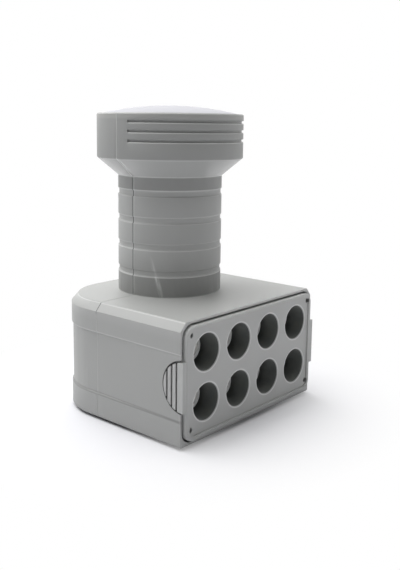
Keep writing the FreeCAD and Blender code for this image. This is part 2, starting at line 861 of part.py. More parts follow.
def makeContact(index, column, row):
    across, up = portPlace(column, row)
    half = "contactWidth / 2"
    front = f"({socketTip} - insulatorRecess - contactRecess)"
    bend = f"(contactReach - {trayInner})"
    run = box(
        f"ContactRun{index}",
        f"{across} - {half}",
        f"-{front}",
        f"{up} - {half}",
        "contactWidth",
        f"{front} + {bend} + {half}",
        "contactWidth",
    )
    low, high = (f"{up} - {half}", boardUnder) if row == 0 else ("boardTop", f"{up} + {half}")
    leg = box(
        f"ContactLeg{index}",
        f"{across} - {half}",
        f"{bend} - {half}",
        low,
        "contactWidth",
        "contactWidth",
        f"{high} - ({low})",
    )
    return keep(join(f"Contact{index}", run, leg), f"centre_contact_{index}")


for index, (column, row) in enumerate(ports, start=1):
    makeInsulator(index, column, row)
for index, (column, row) in enumerate(ports, start=1):
    makeContact(index, column, row)


# Chassis casting.
# One casting: the tray for the board with the eight threaded sockets on its front, the
# shoulder in the housing's neck, the waveguide, and the horn with its choke ring.
bossInset = "(trayWall + lidBossRadius - bossOverlap)"
cornerReach = f"(trayCornerRadius - {bossInset})"
lidScrewPlaces = [
    (f"{side} * ({across})", along)
    for across, along in (
        ("columnPitch", f"{bossInset} - trayFront"),
        (
            f"{trayHalfWidth} - trayCornerRadius + {cornerReach} * cos(lidScrewTurn)",
            f"{trayRear} - trayCornerRadius + {cornerReach} * sin(lidScrewTurn)",
        ),
    )
    for side in (-1, 1)
]
boardScrewPlaces = [(f"{side} * boardScrewAcross", "0") for side in (-1, 1)]
cupScrewReach = "(guideBore + cupWall + cupFlange / 2)"
cupScrewPlaces = [
    (f"{across} * {cupScrewReach} * cos(45)", f"{along} * {cupScrewReach} * sin(45)")
    for across in (-1, 1)
    for along in (-1, 1)
]


def trayOutline(sketch, inset):
    """The tray's plan, square in front and rounded behind, moved inwards by an inset."""
    return drawRounded(
        sketch,
        f"-({trayHalfWidth} - {inset})",
        f"-(trayFront - {inset})",
        f"{trayHalfWidth} - {inset}",
        f"{trayRear} - {inset}",
        f"trayCornerRadius - {inset}",
        cornersOn=(2, 3),
    )


def hornSection():
    """The casting above its roof: shoulder, waveguide, collar, flare and choke ring."""
    return [
        ("guideBore", "boardTop"),
        ("guideRadius", "boardTop"),
        ("guideRadius", f"{shoulderHigh} - shoulderHeight"),
        ("shoulderRadius", f"{shoulderHigh} - shoulderHeight"),
        ("shoulderRadius", shoulderHigh),
        ("guideRadius", shoulderHigh),
        ("guideRadius", "collarLow"),
        ("shoulderRadius", "collarLow"),
        ("shoulderRadius", "collarLow + collarHeight"),
        ("guideRadius + hornSkin", "collarLow + collarHeight"),
        ("guideRadius + hornSkin", "flareLow"),
        ("hornThroat + hornSkin", "flareHigh - chokeDepth"),
        ("hornRadius", "hornHigh - chokeDepth - hornSkin"),
        ("hornRadius", "hornHigh"),
        ("chokeOuter", "hornHigh"),
        ("chokeOuter", "hornHigh - chokeDepth"),
        ("chokeInner", "hornHigh - chokeDepth"),
        ("chokeInner", "hornHigh"),
        ("hornThroat", "hornHigh"),
        ("hornThroat", "flareHigh"),
        ("guideBore", "flareLow"),
    ]


def makeChassis():
    body = newBody("chassis_casting")
    plan = trayOutline(sketchOn(body, "TrayPlan", "XY_Plane", trayLow), "0")
    addPad(body, "TrayBlock", plan, f"{trayHigh} - {trayLow}")
    inside = trayOutline(sketchOn(body, "TrayInside", "XY_Plane", trayLow), "trayWall")
    addPocket(body, "TrayHollow", inside, f"{trayHigh} - {trayLow} - trayRoof", back=True)
    bosses = sketchOn(body, "LidBosses", "XY_Plane", trayLow)
    for across, along in lidScrewPlaces:
        drawCircle(bosses, across, along, "lidBossRadius")
    addPad(body, "LidBossPad", bosses, f"{trayHigh} - {trayLow} - trayRoof / 2")
    posts = sketchOn(body, "BoardPosts", "XY_Plane", "boardTop")
    for across, along in boardScrewPlaces + cupScrewPlaces:
        drawCircle(posts, across, along, "boardPostRadius")
    addPad(body, "BoardPostPad", posts, f"{trayHigh} - boardTop - trayRoof / 2")
    horn = drawOutline(sketchOn(body, "HornSection", "XZ_Plane"), hornSection())
    addTurned(body, "Revolution", "Horn", horn)
    guide = drawCircle(
        sketchOn(body, "GuideCircle", "XY_Plane", shoulderHigh), "0", "0", "guideBore"
    )
    addPocket(body, "GuideCut", guide, f"{shoulderHigh} - {trayLow}")
    tapped = sketchOn(body, "LidScrewHoles", "XY_Plane", trayLow)
    for across, along in lidScrewPlaces:
        drawCircle(tapped, across, along, "screwRadius + screwFit")
    addPocket(body, "LidScrewHolesCut", tapped, "screwGrip + 2", back=True)
    tapped = sketchOn(body, "PostScrewHoles", "XY_Plane", "boardTop")
    for across, along in boardScrewPlaces + cupScrewPlaces:
        drawCircle(tapped, across, along, "screwRadius + screwFit")
    addPocket(body, "PostScrewHolesCut", tapped, "screwGrip + 1", back=True)
    barrels = sketchOn(body, "SocketBarrels", "XZ_Plane", "trayFront")
    bores = sketchOn(body, "SocketBores", "XZ_Plane", socketTip)
    for column, row in ports:
        drawCircle(barrels, *portPlace(column, row), "socketRadius")
        drawCircle(bores, *portPlace(column, row), "socketBore")
    addPad(body, "SocketBarrelPad", barrels, "socketLength")
    addPocket(body, "SocketBoresCut", bores, f"{socketTip} - {trayInner} + 1")
    slots = sketchOn(body, "ProbeSlots", "XY_Plane", "boardTop")
    half = "probeSlot / 2"
    drawRectangle(slots, "guideBore - 1", f"-{half}", "guideRadius + 1", half)
    drawRectangle(slots, f"-{half}", "guideBore - 1", half, "guideRadius + 1")
    addPocket(body, "ProbeSlotsCut", slots, "probeSlot", back=True)
    return keep(body, "chassis_casting")


makeChassis()


# Board, probes and components.
def makeBoard():
    body = newBody("circuit_board")
    plan = sketchOn(body, "BoardPlan", "XY_Plane", boardUnder)
    drawRounded(
        plan,
        f"-{boardHalfWidth}",
        f"-{boardFront}",
        boardHalfWidth,
        boardRear,
        "trayCornerRadius - trayWall - boardGap",
        cornersOn=(2, 3),
    )
    addPad(body, "BoardPad", plan, "boardThickness")
    holes = sketchOn(body, "BoardHoles", "XY_Plane", "boardTop + 1")
    for across, along in lidScrewPlaces:
        drawCircle(holes, across, along, "lidBossRadius + boardGap")
    for across, along in boardScrewPlaces + cupScrewPlaces:
        drawCircle(holes, across, along, "screwRadius + screwFit")
    drawCircle(holes, "0", "0", "guideBore")
    addPocket(body, "BoardHolesCut", holes, "boardThickness + 2")
    return keep(body, "circuit_board")


def makeProbes():
    """The two pick-up pins, square to each other, which reach into the waveguide."""
    lift = "boardTop + probeRadius"
    far = "probeReach + probeLength"
    flat = rod("HorizontalProbe", "probeReach", "0", lift, "probeRadius", "probeLength", "X")
    keep(flat, "horizontal_probe")
    upright = rod("VerticalProbe", "0", far, lift, "probeRadius", "probeLength", "-Y")
    keep(upright, "vertical_probe")


def makeChip(label, across, along, width, depth, height):
    """A component on the board, from the place of its middle."""
    x = f"{across} - {width} / 2"
    y = f"{along} - {depth} / 2"
    return keep(box(label + "Body", x, y, "boardTop", width, depth, height), label)


def makeComponents():
    makeChip("switch_chip", "-chipAcross", "0", "switchSize", "switchSize", "chipHeight")
    makeChip(
        "downconverter_chip",
        "chipAcross",
        "converterAlong",
        "converterSize",
        "converterSize",
        "chipHeight",
    )
    makeChip(
        "reference_crystal",
        "chipAcross",
        "crystalAlong",
        "crystalLength",
        "crystalWidth",
        "crystalHeight",
    )
    makeChip(
        "voltage_regulator",
        "0",
        "regulatorAlong",
        "regulatorWidth",
        "regulatorDepth",
        "regulatorHeight",
    )


def makeBackshort():
    """The cup under the board that closes the waveguide."""
    deep = "(cupDepth + cupWall)"
    outer = rod("CupOuter", "0", "0", f"{boardUnder} - {deep}", "guideBore + cupWall", deep)
    flange = rod(
        "CupFlange",
        "0",
        "0",
        f"{boardUnder} - cupFlangeThickness",
        "guideBore + cupWall + cupFlange",
        "cupFlangeThickness",
    )
    hollow = rod("CupHollow", "0", "0", f"{boardUnder} - cupDepth", "guideBore", "cupDepth + 1")
    holes = [
        rod(
            f"CupHole{index}",
            across,
            along,
            f"{boardUnder} - cupFlangeThickness - 1",
            "screwRadius + screwFit",
            "cupFlangeThickness + 2",
        )
        for index, (across, along) in enumerate(cupScrewPlaces)
    ]
    cup = cut("Cup", join("CupSolid", outer, flange), hollow, *holes)
    return keep(cup, "backshort_cup")


makeBoard()
makeProbes()
makeComponents()
makeBackshort()


# Lid, gasket and screws.
def makeGasket():
    body = newBody("lid_gasket")
    ring = sketchOn(body, "GasketPlan", "XY_Plane", gasketLow)
    trayOutline(ring, "gasketInset")
    trayOutline(ring, "(gasketInset + gasketWidth)")
    addPad(body, "GasketPad", ring, "gasketThickness")
    return keep(body, "lid_gasket")


def makeLid():
    body = newBody("chassis_lid")
    plan = trayOutline(sketchOn(body, "LidPlan", "XY_Plane", lidLow), "0")
    addPad(body, "LidPad", plan, "lidThickness")
    holes = sketchOn(body, "LidHoles", "XY_Plane", f"{lidLow} - 1")
    for across, along in lidScrewPlaces:
        drawCircle(holes, across, along, "screwRadius + screwFit")
    addPocket(body, "LidHolesCut", holes, "lidThickness + 2", back=True)
    seats = sketchOn(body, "LidSeats", "XY_Plane", lidLow)
    for across, along in lidScrewPlaces:
        drawCircle(seats, across, along, "screwHeadRadius + screwFit")
    addPocket(body, "LidSeatsCut", seats, "headRecess", back=True)
    return keep(body, "chassis_lid")


def makeScrews(label, places, seat, grip):
    """Separate pan-head screws in one node, which point up from the height of their seat."""
    screws = []
    for index, (across, along) in enumerate(places):
        low = f"{seat} - screwHeadHeight"
        shank = rod(f"{label}Shank{index}", across, along, seat, "screwRadius", grip)
        head = rod(
            f"{label}Head{index}", across, along, low, "screwHeadRadius", "screwHeadHeight"
        )
        screws.append(join(f"{label}Screw{index}", shank, head))
    group = doc.addObject("Part::Compound", label + "Group")
    group.Links = screws
    return keep(group, label)


makeGasket()
makeLid()
makeScrews(
    "lid_screws",
    lidScrewPlaces,
    f"({lidLow} + headRecess)",
    "lidThickness - headRecess + gasketThickness + screwGrip",
)
makeScrews("board_screws", boardScrewPlaces, boardUnder, "boardThickness + screwGrip")
makeScrews(
    "backshort_screws",
    cupScrewPlaces,
    f"{boardUnder} - cupFlangeThickness",
    "boardThickness + cupFlangeThickness + screwGrip",
)


# Feed cap and its seal.
# A thin dome that closes the head. Its ledge presses the seal on the horn's rim, and its
# skirt goes outside the horn.
def makeFeedCap():
    body = newBody("feed_cap")
    section = sketchOn(body, "CapSection", "XZ_Plane")
    dome = number("(capRadius ^ 2 + capRise ^ 2) / (2 * capRise)")
    centre = FreeCAD.Vector(0, number("headHigh + capRise") - dome, 0)
    rimAngle = math.acos(number("capRadius") / dome)
    circle = Part.Circle(centre, FreeCAD.Vector(0, 0, 1), dome)
    arc = section.addGeometry(Part.ArcOfCircle(circle, rimAngle, math.pi / 2))
    under = "headHigh + capRise - capWall"
    corners = [
        ("0", "headHigh + capRise"),
        ("0", under),
        ("capRadius / 2", f"{under} - capRise / 4"),
        ("hornRadius - capLedge", "headHigh - capWall / 2"),
        ("hornRadius - capLedge", capSeat),
        ("hornRadius + capSkirtGap", capSeat),
        ("hornRadius + capSkirtGap", f"{capSeat} - capSkirt"),
        ("capRadius", f"{capSeat} - capSkirt"),
        ("capRadius", "headHigh"),
    ]
    places = [FreeCAD.Vector(number(across), number(up), 0) for across, up in corners]
    for start, end in zip(places, places[1:]):
        section.addGeometry(Part.LineSegment(start, end))
    last = section.GeometryCount - 1
    section.addConstraint(Sketcher.Constraint("Coincident", arc, 2, arc + 1, 1))
    for index in range(arc + 1, last):
        section.addConstraint(Sketcher.Constraint("Coincident", index, 2, index + 1, 1))
    section.addConstraint(Sketcher.Constraint("Coincident", last, 2, arc, 1))
    section.addConstraint(Sketcher.Constraint("PointOnObject", arc, 3, -2))
    for index, (across, up) in enumerate(corners[:-1]):
        tie(section, "DistanceX", arc + 1 + index, 1, across)
        tie(section, "DistanceY", arc + 1 + index, 1, up)
    tie(section, "DistanceX", last, 2, corners[-1][0])
    tie(section, "DistanceY", last, 2, corners[-1][1])
    addTurned(body, "Revolution", "Cap", section)
    return keep(body, "feed_cap")


def makeCapSeal():
    body = newBody("cap_seal")
    section = sketchOn(body, "SealSection", "XZ_Plane")
    drawRectangle(section, "chokeOuter + sealInset", "hornHigh", "hornRadius - sealInset", capSeat)
    addTurned(body, "Revolution", "Seal", section)
    return keep(body, "cap_seal")


makeFeedCap()
makeCapSeal()

doc.recompute()

faults = []
for item in doc.Objects:
    if "Invalid" in item.State or "Error" in item.State:
        faults.append(f"{item.Label}: {item.State}")
for item in pieces:
    if item.Shape.isNull() or not item.Shape.isValid() or not item.Shape.Solids:
        faults.append(f"{item.Label}: no valid solid")
if faults:
    raise SystemExit("\n".join(faults))

for item in pieces:
    item.Shape.exportStep(f"parts/{item.Label}.step")
    solids = item.Shape.Solids
    print(item.Label, len(solids), "solids", round(sum(s.Volume for s in solids), 1), "mm3")
print(len(pieces), "pieces")
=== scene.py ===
import math

import bpy
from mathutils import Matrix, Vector

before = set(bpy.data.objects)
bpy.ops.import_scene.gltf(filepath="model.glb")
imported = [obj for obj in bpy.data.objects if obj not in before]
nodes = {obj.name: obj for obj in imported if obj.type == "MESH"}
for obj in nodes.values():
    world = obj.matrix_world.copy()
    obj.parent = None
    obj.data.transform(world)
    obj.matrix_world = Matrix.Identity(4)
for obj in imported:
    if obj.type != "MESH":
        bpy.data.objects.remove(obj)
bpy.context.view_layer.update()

# A satellite LNB in grey moulded plastic, standing on its back face on white paper.
# The frame is in metres: +Z up the neck, the ports towards -Y.

mm = 0.001
scene = bpy.context.scene
print("frame loaded:", len(nodes), "pieces")


def linear(hexColour):  # sRGB hex to the linear colour that Blender works in
    channels = [int(hexColour[place:place + 2], 16) / 255 for place in (1, 3, 5)]
    return tuple(c / 12.92 if c <= 0.04045 else ((c + 0.055) / 1.055) ** 2.4 for c in channels) + (1.0,)


def towards(azimuth, elevation):  # the direction from the object, angles in degrees
    turn, rise = math.radians(azimuth), math.radians(elevation)
    return Vector((math.sin(turn) * math.cos(rise), -math.cos(turn) * math.cos(rise), math.sin(rise)))


def perMetre(sizeMm):  # the texture scale whose pattern is about that size
    return 1 / (sizeMm * mm)


def addNode(tree, kind, inputs, **settings):  # one node, its settings and what feeds its sockets
    node = tree.nodes.new(kind)
    for name, value in settings.items():
        setattr(node, name, value)
    for socket, value in inputs.items():
        if isinstance(value, bpy.types.NodeSocket):
            tree.links.new(value, node.inputs[socket])
        else:
            node.inputs[socket].default_value = value
    return node


def newMaterial(name):  # a material, its tree, its shader, and the object's own coordinates
    material = bpy.data.materials.new(name)
    material.use_nodes = True
    tree = material.node_tree
    shader = tree.nodes["Principled BSDF"]
    place = addNode(tree, "ShaderNodeTexCoord", {}).outputs["Object"]
    return material, tree, shader, place


def dress(material, *names):  # give CAD pieces their material
    for name in names:
        nodes[name].data.materials.clear()
        nodes[name].data.materials.append(material)


def addGrain(tree, place, sizeMm, heightMm, detail=2.0):  # the normal of a surface with this grain
    size = {"Vector": place, "Scale": perMetre(sizeMm), "Detail": detail}
    grain = addNode(tree, "ShaderNodeTexNoise", size).outputs["Fac"]
    bump = addNode(tree, "ShaderNodeBump", {"Height": grain, "Distance": heightMm * mm})
    return bump.outputs["Normal"]


def tonesByHeight(tree, heightZ, tones):  # a colour that runs through tones set by height in mm
    topMm = 120.0  # above the head, so that every height is on the ramp
    share = addNode(tree, "ShaderNodeMath", {0: heightZ, 1: topMm * mm}, operation="DIVIDE")
    ramp = addNode(tree, "ShaderNodeValToRGB", {"Fac": share.outputs[0]})
    stops = ramp.color_ramp.elements
    stops.remove(stops[1])
    for index, (height, tone) in enumerate(tones):
        stop = stops.new(height / topMm) if index else stops[0]
        stop.color = linear(tone)
    return ramp.outputs["Color"]


def paintOver(tree, colour, paint, *masks):  # the colour, and the paint where every mask is 1
    amount = masks[0]
    for mask in masks[1:]:
        amount = addNode(tree, "ShaderNodeMath", {0: amount, 1: mask}, operation="MULTIPLY").outputs[0]
    return addNode(tree, "ShaderNodeMix", {0: amount, 6: colour, 7: paint}, data_type="RGBA").outputs[2]


def lineAt(tree, value, atMm, softMm, strength=1.0):  # full within the first width, none past the second
    away = addNode(tree, "ShaderNodeMath", {0: value, 1: atMm * mm}, operation="SUBTRACT").outputs[0]
    apart = addNode(tree, "ShaderNodeMath", {0: away}, operation="ABSOLUTE").outputs[0]
    fade = {"Value": apart, "From Min": softMm[0] * mm, "From Max": softMm[1] * mm}
    return addNode(tree, "ShaderNodeMapRange", {**fade, "To Min": strength, "To Max": 0.0}).outputs["Result"]


def insideSpans(tree, axes, spans):  # for each axis a mask that is 1 inside its span in mm, else 0
    masks = []
    for axis, (lowMm, highMm) in spans.items():
        span = {0: axes.outputs[axis], 1: (lowMm + highMm) / 2 * mm, 2: (highMm - lowMm) / 2 * mm}
        masks.append(addNode(tree, "ShaderNodeMath", span, operation="COMPARE").outputs[0])
    return masks


def fromNearest(tree, value, firstMm, pitchMm):  # how far a place is from the nearest of a row
    away = addNode(tree, "ShaderNodeMath", {0: value, 1: firstMm * mm}, operation="SUBTRACT").outputs[0]
    half = pitchMm / 2 * mm
    return addNode(tree, "ShaderNodeMath", {0: away, 1: half, 2: -half}, operation="WRAP").outputs[0]


# Painted highlight on the housing: a pale line along its front rim and along the edges listed below.
paintedHighlight = {
    "colour": "#c9cac8",
    "softMm": (0.1, 0.24),
    "rimSpans": {"Y": (-50.9, -40.9)},
    "rimStrength": 0.4,
}
# Each kind of edge has the height of its lowest one, how far apart they are, where they lie, and
# their strength at the bottom and the top of that. An edge that is alone has a pitch that puts
# the next one above the object.
highlightedEdges = {
    "panelTop": {"firstMm": 32.2, "pitchMm": 90, "spans": {"Z": (31.8, 32.6)}, "strength": (0.55, 0.55)},
    "bevelTop": {"firstMm": 42.4, "pitchMm": 90, "spans": {"Z": (42.0, 42.66)}, "strength": (0.9, 0.9)},
    "ringTop": {"firstMm": 52.75, "pitchMm": 9.85, "spans": {"Z": (50, 85)}, "strength": (0.1, 0.75)},
    "ringBottom": {"firstMm": 50.25, "pitchMm": 9.85, "spans": {"Z": (48, 85)}, "strength": (0.75, 0.2)},
    "slotBottom": {
        "firstMm": 99.76,
        "pitchMm": 3.45,
        "spans": {"Z": (99, 107.9), "Y": (-30, -5.4)},  # the slots run round the front half only
        "strength": (0.9, 0.9),
    },
    "coneFoot": {"firstMm": 87.3, "pitchMm": 200, "spans": {"Z": (87.0, 87.7)}, "strength": (0.6, 0.6)},
    "headFoot": {"firstMm": 93.6, "pitchMm": 200, "spans": {"Z": (93.3, 93.95)}, "strength": (0.5, 0.5)},
    "headTop": {"firstMm": 110.0, "pitchMm": 200, "spans": {"Z": (109.6, 110.4)}, "strength": (0.6, 0.6)},
}


# Paints the pale highlight along each listed edge and along the front rim.
def addEdgeHighlights(tree, colour, axes):
    heightZ = axes.outputs["Z"]
    paint = linear(paintedHighlight["colour"])
    for edge in highlightedEdges.values():
        away = fromNearest(tree, heightZ, edge["firstMm"], edge["pitchMm"])
        line = lineAt(tree, away, 0.0, paintedHighlight["softMm"])
        lowMm, highMm = edge["spans"]["Z"]
        limits = {"Value": heightZ, "From Min": lowMm * mm, "From Max": highMm * mm}
        ends = {"To Min": edge["strength"][0], "To Max": edge["strength"][1]}
        strength = addNode(tree, "ShaderNodeMapRange", {**limits, **ends}).outputs["Result"]
        colour = paintOver(tree, colour, paint, line, strength, *insideSpans(tree, axes, edge["spans"]))
    onRim = insideSpans(tree, axes, paintedHighlight["rimSpans"])
    return paintOver(tree, colour, paint, *onRim, paintedHighlight["rimStrength"])


# The seam of the two halves, by height. It is dark on the bevel and on the neck. The pale line
# down the body's side and on the head is a painted highlight, the dark on the ledge below the
# side panel is painted shade, and the palest, on the cone, is painted light over its groove's shade.
seamAndHighlight = {
    "tones": (
        (0.0, "#b4b5b3"),
        (8.6, "#b4b5b3"),
        (8.9, "#8d8e8c"),
        (9.4, "#8d8e8c"),
        (9.7, "#b4b5b3"),
        (38.5, "#b4b5b3"),
        (40.0, "#646665"),
        (42.6, "#646665"),
        (42.66, "#a8a9a7"),
        (42.76, "#9e9f9d"),
        (43.5, "#5e605f"),
        (86.5, "#5e605f"),
        (87.6, "#e2e3e1"),
        (93.4, "#e2e3e1"),
        (94.5, "#b6b7b5"),
    ),
    "softMm": (0.1, 0.24),
    "lipMm": -0.5,  # a painted highlight along the front half's edge beside the seam, on the neck
    "lipSpans": {"Z": (43.0, 87.2)},
    "lipStrength": 0.35,
}


def addSeamAndHighlight(tree, colour, axes):
    acrossY, heightZ = axes.outputs["Y"], axes.outputs["Z"]
    lip = lineAt(tree, acrossY, seamAndHighlight["lipMm"], seamAndHighlight["softMm"], seamAndHighlight["lipStrength"])
    onNeck = insideSpans(tree, axes, seamAndHighlight["lipSpans"])
    colour = paintOver(tree, colour, linear(paintedHighlight["colour"]), lip, *onNeck)
    line = lineAt(tree, acrossY, 0.0, seamAndHighlight["softMm"])
    return paintOver(tree, colour, tonesByHeight(tree, heightZ, seamAndHighlight["tones"]), line)


# Painted shade on the housing in the gap round each grip, and in the gap beside and below the
# cover's plate.
gapShade = {
    "colour": "#3f403e",
    "gripMiddleMm": (0.0, -42.2, 21.1),
    "gripRadiusMm": 9.08,
    "gripSoftMm": (0.14, 0.26),
    "gripStrength": 0.85,
    "mouthSpans": {"X": (-37.8, 37.8), "Y": (-40.85, -38.4), "Z": (0.4, 38.5)},
    "mouthStrength": 0.75,
    "bevelNormal": (0.756, 0.0, 0.655),
    "insideBevelMm": 54.3,  # how far out along the bevel's normal the dirt goes, short of the bevel
}


def addGapShade(tree, colour, place, axes):
    flat = addNode(tree, "ShaderNodeVectorMath", {0: place, 1: (0, 1, 1)}, operation="MULTIPLY").outputs[0]
    fromGrip = {0: flat, 1: Vector(gapShade["gripMiddleMm"]) * mm}
    radius = addNode(tree, "ShaderNodeVectorMath", fromGrip, operation="DISTANCE").outputs["Value"]
    ring = lineAt(tree, radius, gapShade["gripRadiusMm"], gapShade["gripSoftMm"], gapShade["gripStrength"])
    colour = paintOver(tree, colour, linear(gapShade["colour"]), ring)
    outward = addNode(tree, "ShaderNodeVectorMath", {0: place}, operation="ABSOLUTE").outputs[0]
    toBevel = {0: outward, 1: gapShade["bevelNormal"]}
    reach = addNode(tree, "ShaderNodeVectorMath", toBevel, operation="DOT_PRODUCT").outputs["Value"]
    limit = {0: reach, 1: gapShade["insideBevelMm"] * mm}
    insideBevel = addNode(tree, "ShaderNodeMath", limit, operation="LESS_THAN").outputs[0]
    inMouth = insideSpans(tree, axes, gapShade["mouthSpans"])
    masks = [*inMouth, insideBevel, gapShade["mouthStrength"]]
    return paintOver(tree, colour, linear(gapShade["colour"]), *masks)


# A long scratch on the neck's left, over the lowest groove, broken into streaks.
scuff = {
    "colour": "#e2e3e2",
    "strength": 0.7,
    "middleMm": (-17.3, -9.9, 49.2),
    "along": (2.06, -3.9, -15.2),
    "sizeMm": (0.55, 1.2, 10.0),  # its half sizes, the last one along it
    "streakScale": 1.6,  # about this many streaks to a half size
    "streakDetail": 3.0,
    "streakRange": (0.3, 0.6),
}


def addScuff(tree, colour, place):
    frameOfScuff = {
        "Vector": place,
        "Location": Vector(scuff["middleMm"]) * mm,
        "Rotation": Vector(scuff["along"]).to_track_quat("Z", "Y").to_euler(),
        "Scale": Vector(scuff["sizeMm"]) * mm,
    }
    inScuff = addNode(tree, "ShaderNodeMapping", frameOfScuff, vector_type="TEXTURE").outputs["Vector"]
    blot = addNode(tree, "ShaderNodeTexGradient", {"Vector": inScuff}, gradient_type="SPHERICAL")
    pattern = {"Vector": inScuff, "Scale": scuff["streakScale"], "Detail": scuff["streakDetail"]}
    streaks = addNode(tree, "ShaderNodeTexNoise", pattern).outputs["Fac"]
    low, high = scuff["streakRange"]
    limits = {"Value": streaks, "From Min": low, "From Max": high, "To Max": scuff["strength"]}
    broken = addNode(tree, "ShaderNodeMapRange", limits)
    return paintOver(tree, colour, linear(scuff["colour"]), blot.outputs["Fac"], broken.outputs["Result"])


# Painted highlight: a thin pale rim round each of the cover's ports.
portRimHighlights = {
    "colour": "#dcdddb",
    "strength": 0.8,
    "firstMm": {"X": 8.75, "Z": 13.5},
    "pitchMm": {"X": 17.5, "Z": 17.4},
    "radiusMm": 6.86,
    "softMm": (0.12, 0.32),
    "spans": {"X": (-34, 34), "Y": (-50, -41.6), "Z": (5, 39)},
}


def addPortRimHighlights(tree, colour, axes):
    offsets = {}
    for axis, firstMm in portRimHighlights["firstMm"].items():
        offsets[axis] = fromNearest(tree, axes.outputs[axis], firstMm, portRimHighlights["pitchMm"][axis])
    flat = addNode(tree, "ShaderNodeCombineXYZ", offsets).outputs[0]
    radius = addNode(tree, "ShaderNodeVectorMath", {0: flat}, operation="LENGTH").outputs["Value"]
    rim = lineAt(tree, radius, portRimHighlights["radiusMm"], portRimHighlights["softMm"], portRimHighlights["strength"])
    onPlate = insideSpans(tree, axes, portRimHighlights["spans"])
    return paintOver(tree, colour, linear(portRimHighlights["colour"]), rim, *onPlate)


# Painted shade round the pin holes in the cover's corners, and in the grooves of its two grips.
coverShade = {
    "colour": "#5c5d5b",
    "middleMm": (0.0, 0.0, 21.9),
    "holeMm": (34.3, 0.0, 16.3),  # from the middle to a pin hole, the same on either side
    "holeSoftMm": (0.85, 1.15),
    "holeStrength": 0.8,
    "grooveSpans": {"X": (36.0, 38.0), "Y": (25.0, 39.9)},  # out from the middle, on either side
    "grooveStrength": 0.85,
}


def addCoverShade(tree, colour, place):
    fromMiddle = {0: place, 1: Vector(coverShade["middleMm"]) * mm}
    away = addNode(tree, "ShaderNodeVectorMath", fromMiddle, operation="SUBTRACT").outputs[0]
    flat = addNode(tree, "ShaderNodeVectorMath", {0: away, 1: (1, 0, 1)}, operation="MULTIPLY").outputs[0]
    aside = addNode(tree, "ShaderNodeVectorMath", {0: flat}, operation="ABSOLUTE").outputs[0]
    fromHole = {0: aside, 1: Vector(coverShade["holeMm"]) * mm}
    radius = addNode(tree, "ShaderNodeVectorMath", fromHole, operation="DISTANCE").outputs["Value"]
    hole = lineAt(tree, radius, 0.0, coverShade["holeSoftMm"], coverShade["holeStrength"])
    colour = paintOver(tree, colour, linear(coverShade["colour"]), hole)
    outward = addNode(tree, "ShaderNodeVectorMath", {0: place}, operation="ABSOLUTE").outputs[0]
    sides = addNode(tree, "ShaderNodeSeparateXYZ", {"Vector": outward})
    inGrooves = insideSpans(tree, sides, coverShade["grooveSpans"])
    return paintOver(tree, colour, linear(coverShade["colour"]), *inGrooves, coverShade["grooveStrength"])


# ABS, injection moulded in a spark-eroded mould: an even matt grey with a fine grain, a broad
# soft sheen, and slow shifts of tone where the plastic flowed. The cone was polished in the
# mould. Sharp edges carry a painted pale highlight, and the two halves show their seam.
greyAbs = {
    "flowColour": "#8f908e",
    "flowStrength": 0.2,
    "flowMm": 24.0,
    "grainMm": 0.5,  # coarser than the real grain, so that it shows
    "grainHeightMm": 0.02,
    "roughness": 0.52,
    "polishedRoughness": 0.24,
    "polishedSpans": {"Z": (87.2, 93.6)},
    "ior": 1.54,
}
# The housing's tone by height in millimetres. Darker at the foot and on the ledge below the side
# panel is painted shade, paler on the bevel, on the top face and at the neck's foot is a painted
# highlight, and the ends of the neck and the head are darker than the rest.
shellTonesAndPaintedLight = (
    (0.3, "#6e6f6d"),
    (0.8, "#a8a9a7"),
    (8.8, "#a8a9a7"),
    (8.9, "#8d8e8c"),
    (9.4, "#8d8e8c"),
    (9.6, "#a8a9a7"),
    (36.0, "#a8a9a7"),
    (42.3, "#b8b9b7"),
    (42.65, "#b0b1af"),
    (42.75, "#b0b1af"),
    (42.9, "#868785"),
    (47.0, "#898a88"),
    (50.2, "#8d8e8c"),
    (50.4, "#a8a9a7"),
    (82.1, "#a8a9a7"),
    (82.3, "#8e8f8d"),
    (87.0, "#8e8f8d"),
    (87.2, "#a8a9a7"),
    (93.6, "#a8a9a7"),
    (93.8, "#979896"),
    (107.9, "#979896"),
    (108.8, "#a2a29f"),
)
# The cover is paler than the housing, and darker towards its foot, which is painted shade.
coverTonesAndShade = (
    (6.0, "#afb0ae"),
    (20.0, "#bcbdbb"),
    (34.0, "#bebfbd"),
)


